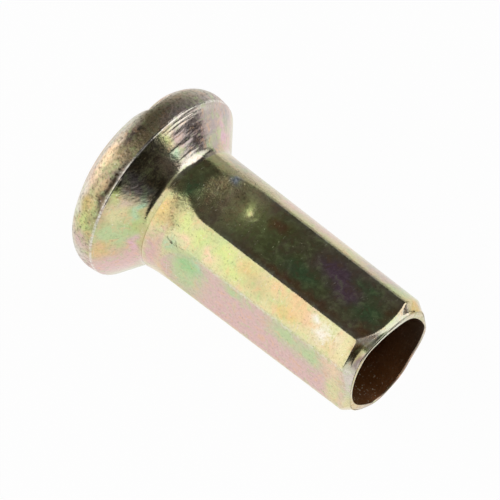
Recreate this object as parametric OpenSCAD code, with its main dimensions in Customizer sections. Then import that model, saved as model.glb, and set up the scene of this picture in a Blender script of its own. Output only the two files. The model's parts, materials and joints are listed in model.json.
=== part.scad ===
// Spoke nipple for a wire wheel: a cold-formed steel piece with a slotted dome
// head, a conical seat that beds in the rim, a round neck, a shank pressed
// square for the spoke key, and a bore that takes the end of the spoke.
// It lies the way it comes to rest: on the edge of its seat and on the end
// of one flat, with its open end along +X.

/* [Length] */
// Overall length from the top of the head to the open end
overall_l = 17; // [15:0.1:20]

/* [Head] */
// Largest diameter of the head, where its rounded edge runs into its side
head_d = 9.9; // [9.6:0.05:10.4]
// Height from the seat's edge to the middle of the rounded edge
head_land = 0.55; // [0.3:0.05:0.9]
// Radius that rounds the side of the head over into the crown
head_edge_r = 1.25; // [0.8:0.05:1.5]
// Radius of the crown on top of the head
crown_r = 8.25; // [7:0.05:12]

/* [Driver slot] */
// Width of the slot across the head
slot_w = 1.6; // [1:0.1:1.8]
// Depth of the slot below the top of the crown
slot_depth = 1.5; // [1:0.05:1.8]

/* [Seat and neck] */
// Diameter at the sharp edge between the head's side and its conical seat
seat_d = 9.8; // [9.4:0.05:9.85]
// Angle of the conical seat from the axis
seat_angle = 50; // [45:1:55]
// Radius of the hollow corner between the seat and the neck
neck_fillet_r = 0.6; // [0.4:0.05:1]
// Diameter of the round neck
neck_d = 6.3; // [6.1:0.05:6.5]

/* [Key square] */
// Width across two opposite flats, where the flats begin
key_af = 5.5; // [5.4:0.05:5.7]
// Distance from the seat's edge to where the flats are fully formed
flat_start = 4.7; // [4.4:0.1:6]
// Radius of the die that runs each flat out into the neck
runout_r = 5; // [2:0.5:6]
// Draft of the shank and its flats, which narrow toward the open end
draft_angle = 0.5; // [0.2:0.1:0.7]

/* [Open end] */
// Outer diameter of the ring that is left on the end face
end_d = 5.44; // [5.4:0.02:5.6]
// Length of the chamfer that takes the corners off the end
chamfer_l = 0.6; // [0.4:0.02:0.9]

/* [Bore] */
// Diameter of the plain bore that the spoke enters
bore_d = 4.84; // [4.6:0.02:5]
// Depth of the plain bore, to the start of its drilled cone
bore_depth = 6.2; // [4:0.1:8]
// Full angle of the drilled cone at the bottom of the plain bore
drill_angle = 118; // [90:1:140]
// Diameter of the hole that is tapped for the spoke's thread
tap_d = 3.3; // [3:0.05:3.5]

/* [Hidden] */
$fn = 96;

head_r = head_d / 2;
seat_r = seat_d / 2;
neck_r = neck_d / 2;
end_r = end_d / 2;
bore_r = bore_d / 2;
tap_r = tap_d / 2;

// Curves that run into each other overlap by this much, so that they join.
bond = 0.001;

// Along the axis the seat's edge is at 0, the crown is below it and the open
// end above it.
round_r = head_r - head_edge_r;
crown_to_round = sqrt(pow(crown_r + bond - head_edge_r, 2) - pow(round_r, 2));
crown_c = crown_to_round - head_land;
head_h = crown_r - crown_c;
shank_l = overall_l - head_h;
slot_floor = slot_depth - head_h;

// The point where the crown runs smoothly into the rounded edge.
blend_share = crown_r / (crown_r + bond - head_edge_r);
blend_r = round_r * blend_share;
blend_z = crown_c - crown_to_round * blend_share;

// The side of the head leans in, from the rounded edge to the seat's edge.
side_reach = norm([head_land, seat_r - round_r]);
side_lean = atan(head_land / (seat_r - round_r)) - acos(head_edge_r / side_reach);
side_r = round_r + head_edge_r * cos(side_lean);
side_z = head_edge_r * sin(side_lean) - head_land;

// The hollow corner touches the seat and the neck.
fillet_c_r = neck_r + neck_fillet_r;
fillet_on_seat_r = fillet_c_r - neck_fillet_r * cos(seat_angle);
fillet_on_seat_z = (seat_r - fillet_on_seat_r) / tan(seat_angle);
fillet_c_z = fillet_on_seat_z + neck_fillet_r * sin(seat_angle);

// The shank narrows from the start of the flats to its end.
shank_drop = tan(draft_angle);
chamfer_z = shank_l - chamfer_l;
corner_r = neck_r - (chamfer_z - flat_start) * shank_drop;
end_flat = key_af / 2 - (shank_l - flat_start) * shank_drop;

// The drilled cone lies between the plain bore and the tapped hole.
bore_z = shank_l - bore_depth;
cone_z = bore_z - (bore_r - tap_r) / tan(drill_angle / 2);

// Cutters reach this far past what they cut.
reach = 1;
runout_depth = neck_r - key_af / 2 + reach / 2;

// At rest the end of the lowest flat touches the ground, and so does the
// seat's edge, or the rounded edge where that reaches lower.
edge_tilt = atan((seat_r - end_flat) / shank_l);
round_tilt = atan((round_r - end_flat) / (shank_l + head_land))
    + asin(head_edge_r / norm([round_r - end_flat, shank_l + head_land]));
rest_tilt = max(edge_tilt, round_tilt);
hole_edge = sqrt(pow(tap_r, 2) - pow(slot_w / 2, 2));
hole_top = crown_c - sqrt(pow(crown_r, 2) - pow(tap_r, 2));
rest_back = hole_top * cos(rest_tilt) - hole_edge * sin(rest_tilt);
rest_front = shank_l * cos(rest_tilt) + end_flat * sin(rest_tilt);
rest_middle = (rest_back + rest_front) / 2;
rest_height = shank_l * sin(rest_tilt) + end_flat * cos(rest_tilt);

// Half section of the forged blank, from the crown to the chamfered end.
module blank_section() {
    difference() {
        union() {
            intersection() {
                translate([0, crown_c])
                    circle(r = crown_r);
                polygon([
                    [0, crown_c],
                    [0, -head_h - reach],
                    [blend_r + (blend_r - round_r), blend_z + (blend_z + head_land)],
                    [blend_r, blend_z]
                ]);
            }
            translate([round_r, -head_land])
                circle(r = head_edge_r);
            polygon([
                [0, -head_land],
                [round_r, -head_land],
                [side_r, side_z],
                [seat_r, 0],
                [fillet_on_seat_r, fillet_on_seat_z],
                [fillet_c_r, fillet_c_z],
                [neck_r, fillet_c_z],
                [neck_r, flat_start],
                [corner_r, chamfer_z],
                [end_r, shank_l],
                [0, shank_l]
            ]);
        }
        translate([fillet_c_r, fillet_c_z])
            circle(r = neck_fillet_r + bond);
    }
}

// Metal pressed away beside one flat, with its run-out toward the neck.
module flat_press() {
    translate([key_af / 2, 0, flat_start])
        rotate([0, -draft_angle, 0])
            rotate([90, 0, 0])
                linear_extrude(height = neck_d + 2 * reach, center = true)
                    intersection() {
                        union() {
                            square([runout_depth, shank_l]);
                            translate([runout_r, 0])
                                circle(r = runout_r);
                        }
                        translate([0, -runout_r])
                            square([runout_depth, shank_l + runout_r]);
                    }
}

// Plain bore from the open end, its drilled cone and the hole for the thread.
module spoke_bore() {
    rotate_extrude()
        polygon([
            [0, -head_h - reach],
            [tap_r, -head_h - reach],
            [tap_r, cone_z],
            [bore_r, bore_z],
            [bore_r, shank_l + reach],
            [0, shank_l + reach]
        ]);
}

// Slot for a screwdriver across the head, in line with two of the flats.
module driver_slot() {
    translate([-head_r - reach, -slot_w / 2, -head_h - reach])
        cube([head_d + 2 * reach, slot_w, slot_floor + head_h + reach]);
}

// The whole nipple, upright on its own axis.
module upright_nipple() {
    difference() {
        rotate_extrude()
            blank_section();
        for (turn = [0 : 90 : 270])
            rotate([0, 0, turn])
                flat_press();
        spoke_bore();
        driver_slot();
    }
}

// The nipple as it lies at rest.
module spoke_nipple() {
    color([0.72, 0.64, 0.36])
        translate([-rest_middle, 0, rest_height])
            rotate([0, 90 + rest_tilt, 0])
                upright_nipple();
}

spoke_nipple();
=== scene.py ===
# %% [markdown]
# # A spoke nipple in Blender
# This lesson dresses one small steel part: the nipple that pulls a wheel's
# spoke tight. It was cold formed from wire, slotted, pressed square for a key,
# bored, tapped, zinc plated and dipped in yellow chromate. The CAD part gives
# the exact sizes and the resting place, and this script adds what the eye
# looks for: soft edges, the thread, tool marks and the rainbow of the plating.

import json
import math

import bpy
import numpy as np
from mathutils import Matrix, Vector


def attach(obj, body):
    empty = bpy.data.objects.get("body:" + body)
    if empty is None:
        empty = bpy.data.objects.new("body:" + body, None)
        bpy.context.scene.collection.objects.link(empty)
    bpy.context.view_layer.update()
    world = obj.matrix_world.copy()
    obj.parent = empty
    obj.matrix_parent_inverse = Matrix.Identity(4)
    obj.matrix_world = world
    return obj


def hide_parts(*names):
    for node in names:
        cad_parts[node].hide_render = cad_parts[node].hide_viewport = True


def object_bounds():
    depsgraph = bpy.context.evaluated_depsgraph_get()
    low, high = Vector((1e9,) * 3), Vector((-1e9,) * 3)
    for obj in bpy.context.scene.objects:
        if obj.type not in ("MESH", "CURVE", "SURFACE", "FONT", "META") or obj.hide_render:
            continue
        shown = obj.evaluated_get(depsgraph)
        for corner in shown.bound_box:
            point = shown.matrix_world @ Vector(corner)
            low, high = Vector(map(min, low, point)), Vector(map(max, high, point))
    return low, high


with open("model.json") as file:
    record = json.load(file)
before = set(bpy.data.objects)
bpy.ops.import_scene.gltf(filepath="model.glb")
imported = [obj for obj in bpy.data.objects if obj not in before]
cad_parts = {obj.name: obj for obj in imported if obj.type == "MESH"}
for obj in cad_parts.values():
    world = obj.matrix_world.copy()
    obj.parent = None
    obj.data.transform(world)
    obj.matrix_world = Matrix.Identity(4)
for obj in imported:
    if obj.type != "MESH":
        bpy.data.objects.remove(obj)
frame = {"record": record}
cad_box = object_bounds()
mounts = {mount["name"]: mount for mount in frame["record"]["mounts"]}
mm_per_m = 1000
print("CAD box in mm:", [[round(mm_per_m * c, 3) for c in corner] for corner in cad_box])

# %% [markdown]
# ## Directions and sizes
# Everything on a nipple is set out along its axis, so the script works in
# millimetres in the nipple's own directions: along (from the seat's edge toward
# the open end), up (the middle of the top flat) and side (the middle of the
# flat that faces the viewer). The frame's mounts give the axis, the bores, the
# neck, the key size and the slot. The few other sizes are written here.

# %% Directions and sizes
axis = Vector(mounts["spoke_entry"]["axis"]).normalized()
side = Vector((0, -1, 0))
up = side.cross(axis)

overall_l = 17.0
head_r = mm_per_m * (cad_box[1][1] - cad_box[0][1]) / 2
seat_r = 4.9
seat_angle = math.radians(50)
head_land = 0.55
head_edge_r = 1.25
crown_r = 8.25
round_r = head_r - head_edge_r
crown_c = math.sqrt((crown_r - head_edge_r) ** 2 - round_r**2) - head_land
end_z = overall_l - (crown_r - crown_c)

bore_r = mounts["spoke_entry"]["dims"]["r_mm"]
bore_l = mounts["spoke_entry"]["dims"]["length_mm"]
tap_r = mounts["spoke_thread"]["dims"]["r_mm"]
neck_r = mounts["rim_neck"]["dims"]["r_mm"]
key_half = mounts["key_square"]["dims"]["spacing_x_mm"] / 2
slot_half = mounts["driver_slot"]["dims"]["hole_r_mm"]
bore_z = end_z - bore_l
bore_middle = Vector(mounts["spoke_entry"]["pos_m"]) * mm_per_m
seat_edge = bore_middle - axis * (end_z - bore_l / 2)
slot_floor = (Vector(mounts["driver_slot"]["pos_m"]) * mm_per_m - seat_edge).dot(axis)

fillet_r = 0.6
flat_start = 4.7
runout_r = 5.0
draft = math.tan(math.radians(0.5))
drill_angle = math.radians(118)
cone_z = bore_z - (bore_r - tap_r) / math.tan(drill_angle / 2)

print("seat edge at", [round(c, 3) for c in seat_edge], "open end", round(end_z, 3), "mm along")

# %% [markdown]
# ## Columns round the axis
# The skin of the nipple can be one closed net: columns run round the axis and
# rows run from the crown, over the head and shank, through the end and back up
# the bore. The slot would break such a net, so some columns are told to follow
# the slot's two walls on top of the head. The slot was cut with no regard to
# the flats, and the photograph shows it turned a little from their middle. On
# the shank the same columns fan out evenly, with more of them where a flat
# meets the round.

# %% Columns round the axis
slot_turn = math.radians(-13)
slot_margin = 0.26
slot_lip = 0.09
slot_corner = 0.12
wall_lean = 0.02
floor_half = 0.5
arc_count = 105


def slot_columns():
    """(offset from the slot's middle, part of the wall, angle) from one wall to the other."""
    wall = [(slot_half + slot_margin, "top", 0.0)]
    for angle in (0, 30, 60, 90):
        turn = math.radians(angle)
        wall.append((slot_half + slot_lip * (1 - math.sin(turn)), "top", turn))
    for angle in (0, 45, 90):
        turn = math.radians(angle)
        wall.append((slot_half - wall_lean - slot_corner * (1 - math.cos(turn)), "corner", turn))
    floor = [(offset, "floor", 0.0) for offset in np.linspace(-floor_half, floor_half, 7)]
    return [(-o, p, a) for o, p, a in wall] + floor + wall[::-1]


group = slot_columns()
columns = []
for end in (0, 1):
    columns += [("slot", end, place) for place in group]
    columns += [("arc", end, (n + 1) / (arc_count + 1)) for n in range(arc_count)]
column_count = len(columns)
print(column_count, "columns round the axis,", len(group), "of them at each end of the slot")

# %% [markdown]
# ## Where the columns stand
# Near the slot a column keeps its distance from the slot's middle, so its angle
# depends on how far out a row lies. On the shank the angles are shared out by
# weight, and the edges of the flats weigh most, because a sharp edge that
# falls between two columns would look like a saw.

# %% Where the columns stand
edge_gain = 4.0
edge_shift = math.radians(0.3)
edge_spread = math.radians(1.6)
widest_sine = 0.999


def from_flat(around):
    """Angle from the middle of the nearest flat."""
    return (around + math.pi / 4) % (math.pi / 2) - math.pi / 4


def head_angles(radius):
    """The angle of every column on the head, where a row lies at this radius."""
    reach = math.asin(min(widest_sine, group[-1][0] / radius))
    angles = []
    for kind, end, place in columns:
        if kind == "slot":
            offset = math.asin(max(-widest_sine, min(widest_sine, place[0] / radius)))
        else:
            offset = reach + place * (math.pi - 2 * reach)
        angles.append(slot_turn + end * math.pi + offset)
    return np.array(angles)


def shank_angles():
    """Column angles on the shank, closest together at the edges of the flats."""
    fine = np.linspace(0, 2 * math.pi, 7201)
    edge = math.acos(key_half / neck_r) + edge_shift
    weight = 1 + edge_gain * np.exp(-(((np.abs(from_flat(fine)) - edge) / edge_spread) ** 2))
    share = np.concatenate([[0], np.cumsum((weight[1:] + weight[:-1]) / 2)])
    share /= share[-1]
    middle = len(group) // 2
    wanted = (np.arange(column_count) - middle) / column_count
    return np.interp(wanted % 1, share, fine) - 2 * math.pi * (wanted < 0)


turn_head = head_angles(head_r)
turn_shank = shank_angles()
gaps = np.degrees(np.diff(turn_shank))
print("columns on the shank stand", gaps.min().round(2), "to", gaps.max().round(2), "degrees apart")

# %% [markdown]
# ## Rows along the skin
# Each row is a ring with a radius and a place along the axis. The head is a
# flat crown that rolls over into a short side, then comes the sharp edge, the
# conical seat, the hollow corner and the neck. Every curve here is a circle in
# section, so its rows follow from its middle, its radius and the way it faces.
# On the shank the rows are closest where the flats run out and at the end.

# %% Rows along the skin
blend_r = round_r * crown_r / (crown_r - head_edge_r)
hole_r = tap_r + 0.35
edge_soft = 0.1
runout_end = 5.6
end_zone = 1.0
end_edge = 0.04
rows = []


def bend(zone, middle, radius, facings):
    """Rows round a curve, given by the angles that it faces, from the radial toward the open end."""
    for facing in facings:
        out, along = radius * math.cos(facing), radius * math.sin(facing)
        rows.append((zone, middle[0] + out, middle[1] + along))


for radius in np.linspace(hole_r, blend_r, 20):
    rows.append(("crown", radius, crown_c - math.sqrt(crown_r**2 - radius**2)))
side_reach = math.hypot(head_land, seat_r - round_r)
side_lean = math.atan(head_land / (seat_r - round_r)) - math.acos(head_edge_r / side_reach)
roll_start = -math.acos((blend_r - round_r) / head_edge_r)
bend("crown", (round_r, -head_land), head_edge_r, np.linspace(roll_start, side_lean, 18)[1:])

soft = edge_soft * math.tan((seat_angle - side_lean) / 2)
side_start = rows[-1][2]
for place in np.linspace(side_start, -soft * math.cos(side_lean), 7)[1:-1]:
    rows.append(("side", seat_r - place * math.tan(side_lean), place))
edge_r = seat_r + soft * math.sin(side_lean) - edge_soft * math.cos(side_lean)
edge_z = -soft * math.cos(side_lean) - edge_soft * math.sin(side_lean)
bend("edge", (edge_r, edge_z), edge_soft, np.linspace(side_lean, seat_angle, 5))

foot_r = neck_r + fillet_r * (1 - math.cos(seat_angle))
for radius in np.linspace(rows[-1][1], foot_r, 61)[1:]:
    rows.append(("seat", radius, (seat_r - radius) / math.tan(seat_angle)))
neck_z = rows[-1][2] + fillet_r * math.sin(seat_angle)
bend("fillet", (neck_r + fillet_r, neck_z), -fillet_r, np.linspace(seat_angle, 0, 10)[1:-1])

for first, last, count in (
    (neck_z, runout_end, 46),
    (runout_end + 0.15, end_z - end_zone, 46),
    (end_z - end_zone + 0.06, end_z - end_edge, 24),
):
    rows += [("shank", neck_r, place) for place in np.linspace(first, last, count)]
print(len(rows), "rows from the crown to the end face, neck from", round(neck_z, 2), "mm")

# %% [markdown]
# ## Rows through the bore
# From the end ring the net turns in: over the lip, down the plain bore, across
# the drilled cone and up the tapped hole to the slot. The ring's rows hold their
# share of its width and how deep they lie, since a fine groove runs round it.
# The thread is a wave in the hole's radius that climbs one pitch a turn, so it
# needs no separate piece.

# %% Rows through the bore
pitch = 0.7
thread_depth = 0.3
thread_top = -0.6
lip_r = 0.05
bore_start = 0.17
rows += [("ring", share, deep) for share, deep in ((0.08, 0.05), (0.2, 0.055), (0.28, 0.01), (0.6, 0.0))]
for angle in np.radians([0, 30, 60, 90]):
    rows.append(("lip", lip_r * (1 - math.sin(angle)), lip_r * (1 - math.cos(angle))))
rows += [("bore", bore_r, place) for place in np.linspace(end_z - bore_start, bore_z, 17)]
for share in (0.33, 0.66, 1.0):
    rows.append(("drill", bore_r + (tap_r - bore_r) * share, bore_z + (cone_z - bore_z) * share))
rows += [("thread", tap_r, place) for place in np.arange(cone_z - 0.05, thread_top, -pitch / 8)]
rows += [("mouth", tap_r, share) for share in np.linspace(0.1, 1, 9)]
row_count = len(rows)
print(row_count, "rows,", 2 * row_count * column_count, "triangles")

# %% [markdown]
# ## The bent rim
# The wall round the bore is thin at its end. It was squeezed a little square
# with the shank, it bulges at the corner nearest the viewer, and knocks have
# bent it since. Each bend is a smooth change of the radius near one angle, so
# the rim stays one clean curve.

# %% The bent rim
near_corner = math.radians(49)
ring_r = 2.53
ring_square, mouth_square = 0.16, 0.02
ring_bulge, mouth_bulge = 0.07, 0.10

# Middle and spread of each bend in degrees, and what it adds to the radius of
# the bore's mouth and to that of the ring, in mm.
rim_bends = (
    (-132, 19, -0.24, -0.27),
    (-93, 15, 0.16, 0.14),
    (168, 18, 0.19, 0.16),
    (-8, 24, -0.14, 0.0),
    (35, 11, 0.10, 0.05),
    (-55, 16, -0.05, 0.1),
    (122, 16, 0.0, 0.08),
)


def close_to(around, middle, spread):
    """1 at one angle round the axis, falling to 0 away from it."""
    off = (around - middle + math.pi) % (2 * math.pi) - math.pi
    return np.exp(-((off / spread) ** 2))


def near_angle(around, turned, spread):
    """The same, with the angle and its spread in degrees."""
    return close_to(around, math.radians(turned), math.radians(spread))


def squareness(around):
    """0 at the middle of a flat and 1 at a corner."""
    return 0.5 - 0.5 * np.cos(4 * around)


def end_ring(around):
    """Outer radius of the end ring."""
    bent = sum(in_ring * near_angle(around, turned, spread) for turned, spread, _, in_ring in rim_bends)
    bulge = ring_bulge * close_to(around, near_corner, 0.3)
    return ring_r + ring_square * squareness(around) + bulge + bent


def bore_mouth(around):
    """Radius of the bore at its mouth."""
    bent = sum(in_mouth * near_angle(around, turned, spread) for turned, spread, in_mouth, _ in rim_bends)
    bulge = mouth_bulge * close_to(around, near_corner, 0.35)
    return bore_r + mouth_square * squareness(around) + bulge + bent


wall = end_ring(turn_shank) - bore_mouth(turn_shank)
print("wall at the rim from", wall.min().round(2), "to", wall.max().round(2), "mm")

# %% [markdown]
# ## The pressed shank
# The neck is round and the shank is the same bar with four flats pressed into
# it. Seen along the axis that is a circle and four straight lines, and the
# nearest of them to the axis wins. A softened minimum rounds the meeting
# edges. The end is chamfered in two slopes, and steeper at some corners. The
# top flat was pressed slightly askew.

# %% The pressed shank
press_soft = 0.07
chamfer_soft = 0.04
knee_soft = 0.03
end_short = 0.09
top_flat_shift = -0.17
top_flat_skew = -0.29
gentle_slope = 0.25
steep_slope = 0.62
knee_left, knee_square, knee_corner = 0.10, 0.02, 0.24
swell, swell_near_side = 0.075, 0.045
near_side = math.radians(125)

# Middle and spread, in radians, of where the chamfer is steeper, and by how much.
steeper = (
    (near_corner + 0.12, 0.25, 0.42),
    (-0.5, 0.3, 0.45),
    (2.06, 0.25, 0.25),
)


def smooth_min(a, b, soft):
    """The lesser of two values, rounded where they meet."""
    near = np.clip(soft - np.abs(a - b), 0, None) / soft
    return np.minimum(a, b) - near * near * soft / 4


def swelling(around, along):
    """The neck swells a little toward the head, more on the near side."""
    height = swell + swell_near_side * np.cos(around - near_side)
    reach = np.where(along > neck_z, 0.6, 0.2)
    return height * np.exp(-np.abs(along - neck_z) / reach)


def chamfer_radius(around, left):
    """Radius that the chamfer leaves, at this distance from the end."""
    ring = end_ring(around)
    knee = knee_left + knee_square * squareness(around)
    knee += knee_corner * close_to(around, near_corner - 0.07, 0.42)
    slope = steep_slope + sum(more * close_to(around, middle, spread) for middle, spread, more in steeper)
    gentle = ring + gentle_slope * left
    steep = ring + gentle_slope * knee + slope * (left - knee)
    return -smooth_min(-gentle, -steep, knee_soft)


def shank_radius(around, along):
    """Radius of the shank, its depth below the round bar, and the chamfer's cut."""
    drop = draft * np.clip(along - flat_start, 0, None)
    bar = neck_r - drop + swelling(around, along)
    off = from_flat(around)
    on_top = close_to(around, 0, 0.75) > 0.5
    start = flat_start + on_top * (top_flat_shift + top_flat_skew * key_half * np.tan(off))
    back = np.clip(start - along, 0, runout_r - 0.001)
    pressed = (key_half - drop + runout_r - np.sqrt(runout_r**2 - back**2)) / np.cos(off)
    chamfer = chamfer_radius(around, end_z - end_short - along)
    whole = smooth_min(bar, pressed, press_soft)
    return smooth_min(whole, chamfer, chamfer_soft), bar - pressed, whole - chamfer


half_way = shank_radius(np.array([0.0, near_corner]), np.full(2, (flat_start + end_z) / 2))[0]
print("half way along the flats the radius is", half_way.round(2), "mm at a flat and at a corner")

# %% [markdown]
# ## The slot and the thread
# On the head the slot's columns drop from the dome to the slot's floor, over a
# rounded lip and into a rounded corner. Where the slot gets shallow toward the
# edge of the head, both get smaller with it. The thread fades in at the
# drilled cone, as a tap leaves it.

# %% The slot and the thread
thread_fades = -1.6
hole_sink = 0.2


def slot_drop(depth):
    """How far each column lies below the dome, where the slot is this deep."""
    lip = min(slot_lip, 0.4 * depth)
    corner = min(slot_corner, 0.4 * depth)
    drops = np.zeros(column_count)
    for j, (kind, end, place) in enumerate(columns):
        if kind == "slot":
            offset, part, angle = place
            if part == "top":
                drops[j] = lip * (1 - math.cos(angle))
            elif part == "corner":
                drops[j] = depth - corner * (1 - math.sin(angle))
            else:
                drops[j] = depth
    return drops


def softened(depth, soft):
    """A depth that runs out to 0 in a soft bend."""
    return -float(smooth_min(np.array(-depth), np.array(0.0), soft))


def thread_radius(around, along):
    """Radius of the tapped hole, with its run-in at the drilled cone."""
    phase = (along / pitch - around / (2 * math.pi)) % 1
    wave = np.clip(1.25 - 3.0 * np.abs(phase - 0.5), 0, 1)
    grown = np.clip((cone_z - along) / pitch, 0, 1) * np.clip((along - thread_fades) / pitch, 0, 1)
    return tap_r + thread_depth * wave * grown


turn_hole = head_angles(hole_r)
dome_at_hole = crown_c - math.sqrt(crown_r**2 - hole_r**2)
hole_top = dome_at_hole + slot_drop(slot_floor - dome_at_hole) + hole_sink
print("the slot is", round(slot_floor - dome_at_hole, 2), "mm deep at the hole")

# %% [markdown]
# ## The whole skin
# Now every row is turned into points. Points are kept in the nipple's own
# directions, since the plating is painted by place on the part. The end is cut
# a little shorter than the CAD part's, as in the photograph, and the rim's
# bends fade out a few millimetres down the bore. Beside the points the loop
# notes what each one belongs to: a flat, the chamfer, the inside, or an edge
# that is rubbed bright.

# %% The whole skin
floor_soft = 0.12
shorten_from = 8.0
flat_fade, chamfer_fade = 0.06, 0.05
flat_edge, chamfer_edge = 0.05, 0.04
wear_from, wear_grows = 4.2, 1.2
bends_reach = 3.0
skin = np.zeros((row_count, column_count, 3))
flatness, chamfered, inside, wear_and_highlight = np.zeros((4, row_count, column_count))

for i, (zone, a, b) in enumerate(rows):
    along = np.full(column_count, b)
    radius = np.full(column_count, a)
    if zone == "crown":
        around = head_angles(a)
        along = b + slot_drop(softened(slot_floor - b, floor_soft))
    elif zone in ("side", "edge", "seat", "fillet", "shank"):
        fan = min(1.0, max(0.0, b / neck_z)) ** 2
        around = turn_head + (turn_shank - turn_head) * fan
        along -= end_short * min(1.0, max(0.0, (b - shorten_from) / (end_z - end_zone - shorten_from)))
        if zone in ("seat", "fillet"):
            radius = radius + swelling(around, along)
        wear_and_highlight[i] = zone == "edge"
        if zone == "shank":
            radius, depth, cut = shank_radius(around, along)
            flatness[i] = np.clip(depth / flat_fade, 0, 1)
            chamfered[i] = np.clip(cut / chamfer_fade, 0, 1)
            handled = np.clip((along - wear_from) / wear_grows, 0, 1)
            wear_and_highlight[i] = 0.7 * handled * np.exp(-((depth / flat_edge) ** 2))
            wear_and_highlight[i] += 0.3 * np.exp(-((cut / chamfer_edge) ** 2))
    elif zone in ("ring", "lip"):
        around = turn_shank
        along = np.full(column_count, end_z - end_short - b)
        mouth_r = bore_mouth(around)
        outer_r = shank_radius(around, np.full(column_count, end_z - end_short - end_edge))[0]
        radius = outer_r + (mouth_r + lip_r - outer_r) * a if zone == "ring" else mouth_r + a
        wear_and_highlight[i] = 0.6 if zone == "ring" else 0.4
    elif zone in ("bore", "drill"):
        around = turn_shank
        fade = np.clip((b - (end_z - bends_reach)) / bends_reach, 0, 1)
        radius = a + (bore_mouth(around) - bore_r) * fade
        inside[i] = 1
    else:
        fan = np.clip(b / cone_z, 0, 1) if zone == "thread" else 0.0
        around = turn_hole + (turn_shank - turn_hole) * fan
        if zone == "mouth":
            along = thread_top + (hole_top - thread_top) * b
        radius = thread_radius(around, along)
        inside[i] = 1
    skin[i] = np.stack([along, radius * np.cos(around), radius * np.sin(around)], axis=1)

print("skin spans", skin.min(axis=(0, 1)).round(3), "to", skin.max(axis=(0, 1)).round(3))

# %% [markdown]
# ## Marks from the tools
# The seat was turned, so fine grooves run round it. Handling left nicks on the
# head's sharp edge, scores on the neck and one dent on the top flat, with a
# little metal raised beside it. They catch the light by their slope, so they
# are pressed into the points themselves and not painted.

# %% Marks from the tools
zones = np.array([row[0] for row in rows])
along_all = skin[:, :, 0].copy()
around_all = np.arctan2(skin[:, :, 2], skin[:, :, 1])
on_seat = (zones == "seat")[:, None]
on_edge = np.isin(zones, ("side", "edge", "seat"))[:, None]
on_shank = (zones == "shank")[:, None]
draw = np.random.default_rng(7).uniform


def near_place(along, around, middle, turned, reach, spread):
    """1 at a place along and round the part, in mm and degrees, falling to 0 around it."""
    return np.exp(-(((along - middle) / reach) ** 2)) * near_angle(around, turned, spread)


def mark(where, middle, turned, reach, spread, depth):
    """How far one mark sinks the skin, on some of its rows."""
    return where * depth * near_place(along_all, around_all, middle, turned, reach, spread)


sunk = np.zeros((row_count, column_count))
for middle, turned, spread in ((0.13, -14, 16), (0.24, -13, 15), (1.16, -8, 14)):
    sunk += mark(on_seat, middle, turned, 0.03, spread, 0.009)
for groove in range(15):
    middle, turned, depth = draw(0.3, 1.15), draw(-30, 0), draw(0.004, 0.012)
    sunk += mark(on_seat, middle, turned, draw(0.03, 0.055), draw(3, 8), depth)
for nick in range(34):
    sunk += mark(on_edge, 0, draw(0, 360), draw(0.04, 0.1), draw(0.5, 1.7), draw(0.008, 0.03))
for middle, turned, spread in ((2.25, 27, 5), (2.4, 30, 6), (2.55, 26, 4), (2.75, 48, 4), (2.95, 52, 4)):
    sunk += mark(on_shank, middle, turned, 0.06, spread, 0.014)
for score in range(16):
    middle, turned = draw(2.0, 3.4), draw(22, 56)
    sunk += mark(on_shank, middle, turned, draw(0.03, 0.06), draw(1.5, 5), draw(0.004, 0.013))
sunk += mark(on_shank, 5.32, -9, 0.34, 9.5, 0.19) + mark(on_shank, 4.65, -12, 0.15, 5, -0.02)

lean = np.where(on_seat, seat_angle, 0.0)
shrink = 1 - sunk * np.cos(lean) / np.hypot(skin[:, :, 1], skin[:, :, 2])
skin[:, :, 0] -= sunk * np.sin(lean)
skin[:, :, 1:] *= shrink[:, :, None]
print("deepest mark", round(float(sunk.max()), 3), "mm")

# %% [markdown]
# ## One helper for nodes
# A finish in Blender is a small graph. One function that adds a node, sets its
# settings and fills or links its inputs keeps the graph readable, and another
# turns the sRGB colours that people pick into the linear values that light
# needs.

# %% One helper for nodes
def linear(code):
    """An sRGB hex colour as linear RGBA."""
    values = [int(code[k : k + 2], 16) / 255 for k in (1, 3, 5)]
    return [v / 12.92 if v <= 0.04045 else ((v + 0.055) / 1.055) ** 2.4 for v in values] + [1.0]


def add(tree, kind, inputs=(), stops=(), **settings):
    """Adds a shader node, with its settings, its inputs (values or links) and a ramp's colours."""
    node = tree.nodes.new("ShaderNode" + kind)
    for name, value in settings.items():
        setattr(node, name, value)
    for name, value in dict(inputs).items():
        if isinstance(value, bpy.types.NodeSocket):
            tree.links.new(value, node.inputs[name])
        else:
            node.inputs[name].default_value = value
    for k, (position, code) in enumerate(stops):
        ramp = node.color_ramp.elements
        stop = ramp[k] if k < 2 else ramp.new(position)
        stop.position, stop.color = position, linear(code)
    return node


print("helpers ready; straw yellow is", [round(v, 3) for v in linear("#dcc56f")])

# %% [markdown]
# ## Colours of the film
# The chromate dip leaves a clear film whose colour changes with its thickness,
# like oil on water, so one part shows straw, rose and leaf green side by side.
# The colours are named once, and each zone of the part starts from one. The
# bore's zones start from a dark brown that is painted shade.

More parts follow.
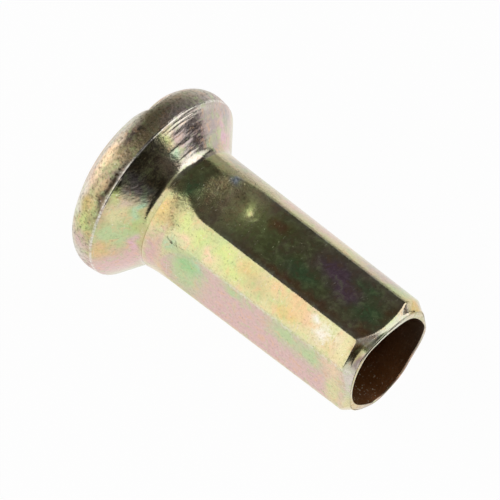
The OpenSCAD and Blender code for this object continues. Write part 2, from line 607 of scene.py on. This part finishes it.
# %% Colours of the film
film_tints = {
    "bare zinc and highlight": "#f0eadc",
    "silver": "#dcd8cf",
    "soot and shade": "#6a6050",
    "sand": "#cbc18e",
    "ash": "#b9ada8",
    "blue": "#b8c2cc",
    "straw": "#e2d7a6",
    "lime": "#d4dc92",
    "leaf": "#c2d2a0",
    "fern": "#bfca84",
    "dusk": "#8f807c",
    "moss": "#a6cf92",
    "mint": "#b9d8b4",
    "rose": "#debbb6",
    "pink": "#e2bac6",
    "mauve": "#cfa8c0",
    "peach": "#f0d3b0",
    "amber": "#e6c495",
    "gold": "#e0c486",
    "brown": "#c89a6c",
    "rust and shade": "#7e4f25",
    "olive": "#cfbc88",
    "khaki": "#bbac76",
}
tint_of = {name: np.array(linear(code)[:3]) for name, code in film_tints.items()}
zone_tint = {"crown": "olive", "side": "olive", "edge": "ash", "seat": "sand", "fillet": "sand"}
zone_tint.update(shank="straw", ring="bare zinc and highlight", lip="bare zinc and highlight")
# The bore's dark brown is painted shade for its dim inside.
zone_tint.update(bore="rust and shade", drill="rust and shade", thread="rust and shade", mouth="rust and shade")
print(len(film_tints), "film colours for", len(zone_tint), "zones")

# %% [markdown]
# ## Pools on the head
# The film drains unevenly and dries in pools. Each pool is set by its place
# along and round the part in millimetres and degrees, how far it spreads each
# way, and its colour. Those on the near side follow the photograph, and those
# on the far side are placed freely. A few are painted highlights instead: the
# peach pool on the dome's roll and the pale crescents near the head's edge.

# %% Pools on the head
# The peach pool at -1.1 mm and 36 degrees is a painted highlight on the dome's roll.
dome_pools = [
    (-1.5, 20, 0.45, 90, "bare zinc and highlight"), (-1.5, 28, 0.4, 20, "silver"), (-1.1, 36, 0.5, 17, "peach"),
    (-0.8, 62, 0.3, 5, "gold"), (-0.6, 74, 0.5, 8, "lime"), (-0.6, 88, 0.5, 6, "rose"),
    (-0.8, 106, 0.8, 14, "bare zinc and highlight"), (-0.5, -45, 0.8, 14, "silver"), (-0.75, -2, 0.45, 30, "khaki"),
    (-0.2, 44, 0.3, 23, "soot and shade"), (-0.9, 15, 0.3, 8, "soot and shade"), (-2.3, 60, 0.4, 26, "peach"),
    (-2.3, 170, 0.5, 30, "lime"), (-1.8, 215, 0.5, 22, "rose"), (-2.2, 290, 0.4, 26, "leaf"),
]
# The bare zinc pools at 0.15 mm and 1.4 mm, near -10 degrees, are painted highlights: pale crescents under
# the head's edge and in the hollow corner.
seat_pools = [
    (0.6, -16, 1.5, 21, "ash"), (0.7, -22, 0.5, 8, "dusk"), (0.6, -38, 1.0, 9, "ash"),
    (0.6, -60, 1.2, 13, "rose"), (0.35, -58, 0.3, 10, "ash"), (1.1, 70, 0.25, 16, "fern"),
    (0.9, -52, 0.3, 5, "pink"), (0.15, -12, 0.1, 18, "bare zinc and highlight"), (0.35, 4, 0.35, 4, "lime"),
    (0.85, 5, 0.3, 4, "mint"), (1.4, -5, 0.2, 15, "bare zinc and highlight"), (0.6, 38, 0.8, 7, "ash"),
    (1.0, 52, 0.14, 10, "mint"), (0.5, 52, 0.3, 5, "rose"), (0.2, 47, 0.2, 6, "lime"),
    (0.5, 62, 0.3, 8, "straw"), (0.3, 76, 0.3, 6, "leaf"), (0.8, 78, 0.4, 11, "leaf"),
    (0.3, 93, 0.4, 8, "gold"), (1.25, 88, 0.14, 9, "pink"), (0.6, 114, 1.2, 16, "rose"),
    (1.25, 100, 0.3, 10, "rose"), (0.7, 150, 0.6, 12, "leaf"), (0.4, 172, 0.6, 10, "rose"),
    (0.8, 200, 0.5, 14, "straw"), (0.5, 228, 0.5, 12, "leaf"), (0.8, 250, 0.6, 10, "pink"),
    (0.4, 268, 0.5, 10, "lime"),
]
print(len(dome_pools), "pools on the dome and", len(seat_pools), "on the seat")

# %% [markdown]
# ## Pools on the shank
# The flats are rose and leaf green, and the round strips between them straw
# and amber, with white and blue spots near the strip's end that are painted
# highlights. The chamfer and the rim had their film rubbed thin. At the near
# corner, dark pools are a painted dark reflection in the chamfer's facet.

# %% Pools on the shank
# Near the end of the strip, the bare zinc pools at 11.2 and 11.8 mm and the blue one at 12.3 mm are painted
# highlights.
strip_pools = [
    (2.2, 43, 0.5, 14, "olive"), (1.9, 42, 0.3, 9, "gold"), (3.2, 41, 0.4, 7, "lime"),
    (3.6, 52, 0.25, 5, "peach"), (4.3, 43, 0.5, 8, "lime"), (5.0, 51, 0.3, 5, "peach"),
    (5.7, 40, 0.6, 7, "lime"), (6.6, 50, 0.7, 6, "lime"), (7.2, 40, 0.6, 6, "gold"),
    (7.9, 46, 0.8, 8, "sand"), (8.8, 37, 0.5, 5, "amber"), (9.9, 36, 0.8, 9, "amber"),
    (9.7, 50, 0.6, 6, "gold"), (10.8, 42, 0.5, 8, "amber"), (11.8, 45, 0.25, 4, "bare zinc and highlight"),
    (11.2, 38, 0.2, 3, "bare zinc and highlight"), (12.3, 50, 0.2, 3, "blue"), (12.4, 48, 0.4, 6, "gold"),
    (12.9, 43, 0.4, 9, "straw"),
]
flat_pools = [
    (2.2, 86, 0.4, 18, "rose"), (3.0, 63, 0.4, 6, "mint"), (4.1, 86, 0.9, 30, "leaf"),
    (4.6, 72, 0.3, 8, "mint"), (4.2, 76, 0.6, 9, "moss"), (6.9, 67, 0.6, 6, "leaf"),
    (10.0, 72, 0.9, 12, "leaf"), (11.7, 74, 0.8, 12, "leaf"), (13.1, 100, 0.4, 26, "straw"),
    (12.9, 69, 0.5, 10, "peach"), (9.8, -42, 1.0, 6, "straw"), (12.6, -45, 1.0, 12, "leaf"),
    (7.0, -45, 2.5, 14, "rose"), (3.2, -42, 1.2, 18, "rose"), (2.8, -44, 0.8, 10, "ash"),
    (11.5, -46, 1.2, 12, "ash"), (7.5, 0, 8.0, 34, "fern"), (3.6, 0, 1.4, 30, "sand"),
    (5.1, -9, 0.4, 9, "lime"), (2.4, 12, 0.35, 9, "moss"), (3.5, -21, 0.2, 4, "blue"),
    (6.6, -14, 0.5, 6, "brown"), (9.0, 12, 1.0, 9, "moss"), (10.3, -12, 1.2, 11, "mauve"),
    (11.3, 0, 0.8, 10, "mauve"), (11.8, -18, 0.7, 6, "moss"), (12.8, 4, 0.6, 12, "moss"),
    (9.5, 26, 2.5, 3, "brown"), (13.2, 21, 0.4, 6, "brown"), (13.5, -12, 0.2, 9, "brown"),
    (3.6, 180, 0.8, 24, "leaf"), (6.4, 195, 0.8, 14, "straw"), (9.2, 168, 1.1, 15, "leaf"),
    (12.0, 186, 0.8, 20, "gold"), (2.9, 262, 0.6, 18, "lime"), (5.2, 270, 1.0, 26, "leaf"),
    (7.6, 257, 1.5, 8, "leaf"), (9.4, 279, 2.0, 9, "straw"), (12.2, 262, 1.0, 16, "leaf"),
    (8.8, 268, 1.2, 5, "pink"), (13.2, 272, 0.4, 26, "straw"),
]
# The dark pools near 37 to 48 degrees are a painted dark reflection in the chamfer's facet at the near
# corner.
end_pools = [
    (13.65, 38, 0.3, 10, "brown"), (13.9, -42, 0.4, 10, "gold"), (13.9, 48, 0.14, 9, "dusk"),
    (13.78, 14, 0.12, 6, "ash"), (13.68, 37, 0.15, 7, "rust and shade"), (13.9, 120, 0.3, 25, "straw"),
]
rim_pools = [(14.0, -55, 0.4, 25, "sand"), (14.0, 58, 0.4, 24, "olive"), (14.0, 115, 0.4, 24, "gold")]
print(len(flat_pools), "pools on the flats,", len(strip_pools), "on the strip")

# %% [markdown]
# ## Pour the pools
# The pools are poured one over another, as shares of colour on the points. A
# wobble in the distances keeps them from being ovals. A few stains follow no
# pool: the slot's floor, the silvery chamfer and the brown underside of the
# rim. Painted shade darkens one side of the bore's wall near its mouth.

# %% Pour the pools
def wobble(along, around, seed):
    """A smooth uneven field between about -1 and 1 for the borders of the pools."""
    waves = np.random.default_rng(seed)
    total = np.zeros(np.shape(along))
    for wave in range(9):
        turns, speed, phase = waves.integers(4, 34), waves.uniform(2, 9), waves.uniform(0, 6.3)
        total += np.sin(turns * around * waves.choice((-1, 1)) + speed * along + phase)
    return total / 4.5


along_all = skin[:, :, 0]
around_all = np.arctan2(skin[:, :, 2], skin[:, :, 1])
shifted_along = along_all + 0.13 * wobble(along_all, around_all, 3)
shifted_around = around_all + 0.045 * wobble(along_all, around_all, 5)
outside = inside < 0.5
tint = np.repeat(np.array([tint_of[zone_tint[zone]] for zone in zones])[:, None, :], column_count, axis=1)


def shift_tint(colour, share):
    """Turns the tint of the skin toward a colour, by a share at each point."""
    tint[:] += (colour - tint) * share[:, :, None]


def spot(middle, turned, reach, spread):
    """1 at a place on the outside of the part, falling to 0 around it."""
    return outside * near_place(shifted_along, shifted_around, middle, turned, reach, spread)


def pour(pools, where):
    """Tints some rows of the skin with a list of pools, each over the one before."""
    for *place, name in pools:
        shift_tint(tint_of[name], where * np.clip(1.3 * spot(*place), 0, 1))


on_rim = np.isin(zones, ("ring", "lip"))[:, None]
slot_low = np.array([kind == "slot" and place[1] != "top" for kind, end, place in columns])
stained_rim = on_rim * near_angle(shifted_around, 205, 60)
shaded_wall = inside * near_angle(shifted_around, -95, 45) * np.exp(-(((end_z - along_all) / 2) ** 2))

shift_tint(tint_of["rose"], flatness)
shift_tint(tint_of["brown"], 0.5 * slot_low * (zones == "crown")[:, None])
pour(dome_pools + seat_pools, ~on_shank)
pour(flat_pools + strip_pools, on_shank)
shift_tint(tint_of["silver"], 0.75 * chamfered)
pour(end_pools, on_shank)
pour(rim_pools, on_rim)
shift_tint(tint_of["rust and shade"], 0.85 * stained_rim)
# Painted shade: one side of the bore's wall is darkened near its mouth.
shift_tint(0.3 * tint_of["soot and shade"], 0.8 * shaded_wall)
print("mean tint of the outside", tint[outside].mean(axis=0).round(3), "in linear RGB")

# %% [markdown]
# ## Where it is coarse, dirty and dusty
# The dome keeps the coarse skin of the forging, and the neck was scuffed where
# the press ran out. Dirt sits on the head's side, at the scuffs and in the
# rim's groove. A patch of the strip near the end is painted bright as a
# highlight, and handling left a haze on the run-out and the chamfer. A few
# specks of dust lie on what faces up and in the bore.

# %% Where it is coarse, dirty and dusty
def spots(places):
    """Adds up spots, each with its strength before its place."""
    return sum(strength * spot(*place) for strength, *place in places)


on_dome = np.isin(zones, ("crown", "side")).astype(float)[:, None]
past_neck = np.clip((shifted_along - 2.5) / 0.7, 0, 1)
before_flat = np.clip((runout_end - shifted_along) / 0.6, 0, 1)
run_out = on_shank * past_neck * before_flat * near_angle(around_all, -14, 36)
coarse = np.clip(on_dome + 0.7 * run_out + 0.9 * spot(2.5, 40, 0.5, 20), 0, 1)

in_groove = np.array([zone == "ring" and b > 0.04 for zone, a, b in rows])[:, None]
grime = 1.15 * on_dome * spot(-0.26, 44, 0.22, 16) + 0.5 * stained_rim
grime += in_groove * (0.8 + 0.7 * near_angle(around_all, 60, 28))
grime += spots([
    (0.75, 2.7, 48, 0.5, 10), (0.7, 2.2, 31, 0.35, 6), (0.9, 2.9, -8, 0.35, 7),
    (0.78, 4.1, -12, 0.6, 10), (0.8, 3.3, 60, 0.9, 1.4), (0.35, 11.3, 50, 0.8, 6),
])

wear_and_highlight *= 1 - stained_rim
# Painted highlight: a bright patch on the strip near the end, carried with the wear.
wear_and_highlight += 0.9 * spot(11.9, 43, 0.7, 9)
hazy = 0.02 * on_dome + np.clip(0.06 + 0.1 * wobble(along_all, around_all, 11), 0, 1) * run_out
hazy += spots([(0.27, 4.9, -6, 0.9, 26), (0.05, 6.2, -5, 0.8, 20), (0.12, 1.0, 13, 0.45, 7)])
hazy += chamfered * (0.3 * near_angle(around_all, 29, 9) + 0.08 * near_angle(around_all, 49, 8))
low_bore = inside * near_angle(around_all, 150, 40)
dusty = np.clip(0.06 + 0.8 * low_bore + 0.6 * spot(9, 0, 6, 24) + 0.5 * on_dome, 0, 1)
print("coarse share", round(float(coarse.mean()), 3), "dirty share", round(float(grime.mean()), 3))

# %% [markdown]
# ## From points to a mesh
# Four neighbouring points make one face, and the net closes on itself both
# ways, so there is no border. The sign of its volume tells whether the faces
# look outward. The piece stands for the CAD node and rides on the same body.

# %% From points to a mesh
place_mm = skin.reshape(-1, 3)
turn_to_frame = np.array([axis, up, side])
world = (np.array(seat_edge) + place_mm @ turn_to_frame) / mm_per_m

index = np.arange(row_count * column_count).reshape(row_count, column_count)
next_column = np.roll(index, -1, axis=1)
next_row = np.roll(index, -1, axis=0)
next_both = np.roll(next_row, -1, axis=1)
quads = np.stack([index, next_column, next_both, next_row], axis=-1).reshape(-1, 4)
corner_a, corner_b, corner_c, corner_d = (world[quads[:, k]] for k in range(4))
volume = np.sum(corner_a * (np.cross(corner_b, corner_c) + np.cross(corner_c, corner_d))) / 6
if volume < 0:
    quads = quads[:, ::-1]

mesh = bpy.data.meshes.new("nipple_skin")
mesh.from_pydata(world.tolist(), [], quads.tolist())
mesh.polygons.foreach_set("use_smooth", np.ones(len(quads), dtype=bool))

nipple = bpy.data.objects.new("plated_nipple", mesh)
bpy.context.collection.objects.link(nipple)
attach(nipple, "root")
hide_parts("spoke_nipple")
print(len(quads), "faces,", round(abs(volume) * mm_per_m**3, 1), "cubic mm")

# %% [markdown]
# ## Values on the points
# A finish can read values that are stored with the points: the place on the
# part, the tint of its film with the painted highlights and shade, how coarse,
# dirty, hazy, dusty or worn it is, with one painted highlight in the wear, and
# whether it lies inside the bore. The finish then needs no picture.

# %% Values on the points
point_values = {
    "coarse": coarse,
    "grime": grime,
    "hazy": hazy,
    "dusty": dusty,
    "inside": inside,
    "wear_and_highlight": wear_and_highlight,
}


def store(name, kind, key, values):
    """Stores one value for each point of the mesh."""
    attribute = mesh.attributes.new(name, kind, "POINT")
    attribute.data.foreach_set(key, values.astype(np.float32).ravel())


store("place_mm", "FLOAT_VECTOR", "vector", place_mm)
for name, values in point_values.items():
    store(name, "FLOAT", "value", values)
film_and_painted_light_rgba = np.concatenate([tint, np.ones((row_count, column_count, 1))], axis=2)
store("film_and_painted_light", "FLOAT_COLOR", "color", film_and_painted_light_rgba)
mesh.update()
print("stored with the points:", ["place_mm", *point_values, "film_and_painted_light"])

# %% [markdown]
# ## Yellow chromate on zinc
# The plating is bright zinc under that film, so it mirrors like metal and is
# coloured by the film. Over the pools lie streaks where the dip ran off, and
# finer flecks. Each swings the tint toward rose or peach on one side and
# toward green on the other, and hardly at all inside the bore. Sizes of the
# patterns are in millimetres, as the place on the part is.

# %% Yellow chromate on zinc
plating = bpy.data.materials.new("yellow chromate on zinc plated steel")
plating.use_nodes = True
tree = plating.node_tree
tree.nodes.clear()

place = add(tree, "Attribute", attribute_name="place_mm").outputs["Vector"]
film_and_painted_light = add(tree, "Attribute", attribute_name="film_and_painted_light").outputs["Color"]
coarse_here, grime_here, hazy_here, dusty_here, in_bore, wear_and_highlight_here = (
    add(tree, "Attribute", attribute_name=name).outputs["Fac"] for name in point_values
)

streak_size = 1.5
run_off = {"Vector": place, "Rotation": (0.5, 0.2, 0.35), "Scale": (1.0, 0.45, 0.45)}
run = add(tree, "Mapping", run_off).outputs[0]
uneven = {"Vector": run, "Scale": 1 / streak_size, "Detail": 4.0, "Roughness": 0.6, "Distortion": 0.8}
streaks = add(tree, "TexNoise", uneven).outputs["Fac"]
fleck_size = 0.4
uneven = {"Vector": place, "Scale": 1 / fleck_size, "Detail": 3.0, "Roughness": 0.6, "Distortion": 0.6}
flecks = add(tree, "TexNoise", uneven).outputs["Fac"]
swing = add(tree, "Math", {0: in_bore, 1: -0.5, 2: 0.53}, operation="MULTIPLY_ADD").outputs[0]
film_and_painted_light_colour = film_and_painted_light
for noise, low, high, code in (
    (streaks, 0.52, 0.72, "#e0b9b0"),
    (streaks, 0.46, 0.28, "#bfcf96"),
    (flecks, 0.54, 0.72, "#e9bd92"),
    (flecks, 0.46, 0.28, "#c6dc98"),
):
    limits = {"Value": noise, "From Min": low, "From Max": high, "To Max": swing}
    amount = add(tree, "MapRange", limits).outputs[0]
    film_and_painted_light_colour = add(tree, "Mix", {0: amount, 6: film_and_painted_light_colour, 7: linear(code)}, data_type="RGBA").outputs[2]
print("film nodes:", len(tree.nodes))

# %% [markdown]
# ## Specks and scratches
# Close up the plating is grainy: pits hold dark dirt, high spots are rubbed
# bright and hair scratches run across. The real grain is finer than the
# picture can show, so it is drawn as coarse as it needs to be seen. Coarse skin
# has more pits, and the bore keeps few of the bright marks.

# %% Specks and scratches
speck_size = 0.11
fine = {"Vector": place, "Scale": 1 / speck_size, "Detail": 2.0, "Roughness": 0.6}
specks = add(tree, "TexNoise", fine).outputs["Fac"]
pitted = add(tree, "Math", {0: coarse_here, 1: -0.05, 2: specks}, operation="MULTIPLY_ADD").outputs[0]
pits = add(tree, "MapRange", {"Value": pitted, "From Min": 0.37, "From Max": 0.25}).outputs[0]
rubbed = add(tree, "MapRange", {"Value": specks, "From Min": 0.66, "From Max": 0.80}).outputs[0]
scratch_size = 0.07
scored = {"Vector": place, "Rotation": (0.3, 0.7, 0.9), "Scale": (1.0, 0.05, 0.25)}
hairs = add(tree, "Mapping", scored).outputs[0]
fine = {"Vector": hairs, "Scale": 1 / scratch_size, "Detail": 2.0, "Roughness": 0.5}
scratches = add(tree, "TexNoise", fine).outputs["Fac"]
limits = {"Value": scratches, "From Min": 0.66, "From Max": 0.78, "To Max": 0.5}
scratched = add(tree, "MapRange", limits).outputs[0]
marked = add(tree, "Math", {0: scratched, 1: rubbed}, operation="MAXIMUM").outputs[0]
outer = add(tree, "Math", {0: in_bore, 1: -0.8, 2: 1.0}, operation="MULTIPLY_ADD").outputs[0]
outer_marks = add(tree, "Math", {0: marked, 1: outer}, operation="MULTIPLY").outputs[0]
print("speck nodes too:", len(tree.nodes))

# %% [markdown]
# ## Dirt, wear and dust
# One noise of small clumps breaks up the dirt, mottles the film and makes the
# worn edges patchy. Dirt darkens the film, wear and one painted highlight
# brighten it, and a little pale dust lies on top.

# %% Dirt, wear and dust
clump_size = 0.16
fine = {"Vector": place, "Scale": 1 / clump_size, "Detail": 3.0, "Roughness": 0.65}
clumps = add(tree, "TexNoise", fine).outputs["Fac"]
dirty = add(tree, "Math", {0: grime_here, 1: 0.45, 2: clumps}, operation="MULTIPLY_ADD").outputs[0]
grime_mask = add(tree, "MapRange", {"Value": dirty, "From Min": 0.74, "From Max": 1.04}).outputs[0]
limits = {"Value": clumps, "From Min": 0.52, "From Max": 0.30, "To Max": 0.55}
mottle = add(tree, "MapRange", limits).outputs[0]
mottled = add(tree, "Math", {0: coarse_here, 1: 0.7, 2: 0.3}, operation="MULTIPLY_ADD").outputs[0]
stained = add(tree, "Math", {0: mottle, 1: mottled, 2: grime_mask}, operation="MULTIPLY_ADD").outputs[0]
held = {0: pits, 1: 0.5, 2: stained}
dark_mask = add(tree, "Math", held, operation="MULTIPLY_ADD", use_clamp=True).outputs[0]
limits = {"Value": clumps, "From Min": 0.38, "From Max": 0.62, "To Min": 0.1, "To Max": 0.8}
patchy = add(tree, "MapRange", limits).outputs[0]
brightening = {0: wear_and_highlight_here, 1: patchy, 2: outer_marks}
bright_mask = add(tree, "Math", brightening, operation="MULTIPLY_ADD", use_clamp=True).outputs[0]
dust_size = 0.1
dust_noise = add(tree, "TexNoise", {"Vector": place, "Scale": 1 / dust_size, "Detail": 1.0}).outputs["Fac"]
settled = add(tree, "Math", {0: in_bore, 1: 0.08, 2: dust_noise}, operation="MULTIPLY_ADD").outputs[0]
dust_shape = add(tree, "MapRange", {"Value": settled, "From Min": 0.735, "From Max": 0.79}).outputs[0]
dust = add(tree, "Math", {0: dust_shape, 1: dusty_here}, operation="MULTIPLY").outputs[0]

surface_colour = film_and_painted_light_colour
for mask, code in ((bright_mask, "#ece8dc"), (dark_mask, "#43382a"), (dust, "#dcd6c0")):
    surface_colour = add(tree, "Mix", {0: mask, 6: surface_colour, 7: linear(code)}, data_type="RGBA").outputs[2]
print("surface nodes:", len(tree.nodes))

# %% [markdown]
# ## Gloss
# The flats and the seat are burnished by their tools and mirror clearly. The
# head's dome keeps the coarser skin of the forging, and dirt and scratches
# are dull. Haze, smears and dust lie on the metal and are not metal, so they
# lower the metallic value. A faint bump breaks the mirror up at the scale of
# the grain.

# %% Gloss
limits = {"Value": clumps, "From Min": 0.3, "From Max": 0.7, "To Min": 0.11, "To Max": 0.19}
gloss = add(tree, "MapRange", limits).outputs[0]
bored = add(tree, "Math", {0: in_bore, 1: 0.25, 2: gloss}, operation="MULTIPLY_ADD").outputs[0]
forged = add(tree, "Math", {0: coarse_here, 1: 0.2, 2: bored}, operation="MULTIPLY_ADD").outputs[0]
dulled = add(tree, "Math", {0: dark_mask, 1: scratched}, operation="MAXIMUM").outputs[0]
dull_share = {0: dulled, 1: 0.25, 2: forged}
rough = add(tree, "Math", dull_share, operation="MULTIPLY_ADD", use_clamp=True).outputs[0]

limits = {"Value": flecks, "From Min": 0.55, "From Max": 0.28, "To Max": 0.12}
smear = add(tree, "MapRange", limits).outputs[0]
misty = add(tree, "Math", {0: smear, 1: hazy_here}, operation="ADD").outputs[0]
scuffed = add(tree, "Math", {0: scratched, 1: 0.25, 2: misty}, operation="MULTIPLY_ADD").outputs[0]
matt_share = add(tree, "Math", {0: in_bore, 1: 0.5, 2: scuffed}, operation="MULTIPLY_ADD").outputs[0]
not_metal = add(tree, "Math", {0: matt_share, 1: dust}, operation="ADD", use_clamp=True).outputs[0]
metal = add(tree, "Math", {0: 1.0, 1: not_metal}, operation="SUBTRACT").outputs[0]

grain_height = add(tree, "Math", {0: coarse_here, 1: 4.0, 2: 1.3}, operation="MULTIPLY_ADD").outputs[0]
height = add(tree, "Math", {0: clumps, 1: grain_height}, operation="MULTIPLY").outputs[0]
bumps = add(tree, "Bump", {"Height": height, "Strength": 0.3, "Distance": 0.00002}).outputs[0]

finish = {"Base Color": surface_colour, "Metallic": metal, "Roughness": rough, "Normal": bumps}
shader = add(tree, "BsdfPrincipled", finish)
add(tree, "OutputMaterial", {"Surface": shader.outputs[0]})
mesh.materials.append(plating)
print("material:", plating.name, "with", len(tree.nodes), "nodes")

# %% [markdown]
# ## The white sheet
# The nipple lies on a white sheet. To the eye the sheet is endless and evenly
# white. For the metal it ends a few centimetres to the right in a dim room,
# because that dark edge is what draws the dark reflections. The sheet glows
# for the camera and for mirror rays, and is plain matt white for other light.

# %% The white sheet
scene = bpy.context.scene
scene.view_settings.view_transform = "Standard"
table_half = 1.5
sheet_ends = 0.026
sheet_fades = 0.014

corners = [(x * table_half, y * table_half, 0) for x, y in ((-1, -1), (1, -1), (1, 1), (-1, 1))]
floor_mesh = bpy.data.meshes.new("table_top")
floor_mesh.from_pydata(corners, [], [(0, 1, 2, 3)])
table_top = bpy.data.objects.new("table_top", floor_mesh)
bpy.context.collection.objects.link(table_top)

white = bpy.data.materials.new("matt white table")
white.use_nodes = True
tree = white.node_tree
tree.nodes.clear()
path = add(tree, "LightPath").outputs
by_camera = path["Is Camera Ray"]
mirror_rays = {0: path["Is Glossy Ray"], 1: path["Is Transmission Ray"]}
mirrored = add(tree, "Math", mirror_rays, operation="MAXIMUM").outputs[0]
seen = add(tree, "Math", {0: by_camera, 1: mirrored}, operation="MAXIMUM").outputs[0]
share = add(tree, "Math", {0: seen, 1: 0.97}, operation="MULTIPLY").outputs[0]
position = add(tree, "NewGeometry").outputs["Position"]
across = add(tree, "SeparateXYZ", {0: position}).outputs["X"]
limits = {"From Min": sheet_ends, "From Max": sheet_ends + sheet_fades, "To Min": 1.0, "To Max": 0.05}
on_sheet = add(tree, "MapRange", {"Value": across, **limits}).outputs[0]
brightness = add(tree, "Math", {0: on_sheet, 1: by_camera}, operation="MAXIMUM").outputs[0]
matt = add(tree, "BsdfDiffuse", {"Color": linear("#f4f4f2")}).outputs[0]
glow = add(tree, "Emission", {"Color": linear("#ffffff"), "Strength": brightness}).outputs[0]
mixed = add(tree, "MixShader", {0: share, 1: matt, 2: glow}).outputs[0]
add(tree, "OutputMaterial", {"Surface": mixed})
floor_mesh.materials.append(white)
print("sheet", 2 * table_half, "m wide, for the metal up to", sheet_ends + sheet_fades, "m")

# %% [markdown]
# ## The room
# Metal has no colour of its own without something to reflect. The walls are
# dim, and a little lighter toward the ceiling. The camera sees plain white
# instead, as behind a picture for a catalogue.

# %% The room
room = bpy.data.worlds.new("dim studio")
room.use_nodes = True
scene.world = room
tree = room.node_tree
tree.nodes.clear()
by_camera = add(tree, "LightPath").outputs["Is Camera Ray"]
sky = add(tree, "TexCoord").outputs["Generated"]
height = add(tree, "SeparateXYZ", {0: sky}).outputs["Z"]
walls = add(tree, "ValToRGB", {"Fac": height}, stops=[(0.12, "#1e1e1e"), (0.75, "#4c4c4c")]).outputs[0]
dim = add(tree, "Background", {"Color": walls, "Strength": 1.0}).outputs[0]
pale = add(tree, "Background", {"Color": linear("#ffffff"), "Strength": 1.0}).outputs[0]
mixed = add(tree, "MixShader", {0: by_camera, 1: dim, 2: pale}).outputs[0]
add(tree, "OutputWorld", {"Surface": mixed})
print("room:", room.name)

# %% [markdown]
# ## Soft lights
# A large soft box stands on the near left, with smaller ones left and behind.
# What the metal mirrors of them matters more than their strength, so each is
# given by the direction in which the nipple sees it, its width and height in
# metres, and how bright it looks beside white paper.

# %% Soft lights
light_distance = 0.16
lit_point = Vector((0, 0, 0.004))


def soft_light(name, compass, height, width, tall, brightness):
    """A soft box in this direction, in degrees, as bright as white paper times this."""
    c, h = math.radians(compass), math.radians(height)
    away = Vector((math.cos(c) * math.cos(h), math.sin(c) * math.cos(h), math.sin(h)))
    lamp = bpy.data.lights.new(name, "AREA")
    lamp.shape, lamp.size, lamp.size_y = "RECTANGLE", width, tall
    lamp.energy = math.pi * width * tall * brightness
    box = bpy.data.objects.new(name, lamp)
    box.location = lit_point + away * light_distance
    box.rotation_mode = "QUATERNION"
    box.rotation_quaternion = away.to_track_quat("Z", "Y")
    box.visible_camera = False
    bpy.context.collection.objects.link(box)


soft_light("near left soft box", -98, 34, 0.254, 0.215, 1.15)
soft_light("left soft box", -172, 18, 0.12, 0.10, 1.85)
soft_light("back right soft box", 48, 28, 0.164, 0.148, 1.3)
soft_light("back left pale wall", 115, 14, 0.16, 0.07, 0.4)
soft_light("front top fill", -20, 48, 0.12, 0.06, 0.25)

# %% [markdown]
# ## Camera
# The part is seen from its open end, half from above, from far off with a long
# lens, so parallel edges stay parallel. The camera is turned a little about
# its own line of sight, since the part lay askew in the picture.

# %% Camera
compass, height, roll = (math.radians(v) for v in (46.95, 48.55, -6.2))
distance = 0.5
picture_pixels = 500
pixels_per_mm = 21.7
picture_width = picture_pixels / pixels_per_mm / mm_per_m
aim_height, aim_right, aim_up = 0.00443, -0.000196, 0.000116

back = Vector((math.sin(compass) * math.cos(height), -math.cos(compass) * math.cos(height), math.sin(height)))
level = Vector((math.cos(compass), math.sin(compass), 0))
tall = back.cross(level)
right = level * math.cos(roll) + tall * math.sin(roll)
upright = tall * math.cos(roll) - level * math.sin(roll)
aim = Vector((0, 0, aim_height)) + right * aim_right + upright * aim_up

lens = bpy.data.cameras.new("long lens")
lens.sensor_width = 36
lens.lens = lens.sensor_width * distance / picture_width
lens.clip_start, lens.clip_end = 0.01, 10
camera = bpy.data.objects.new("camera", lens)
camera.rotation_mode = "QUATERNION"
camera.rotation_quaternion = Matrix((right, upright, back)).transposed().to_quaternion()
camera.location = aim + back * distance
bpy.context.collection.objects.link(camera)
scene.camera = camera
print("lens", round(lens.lens), "mm, camera at", [round(c, 3) for c in camera.location])
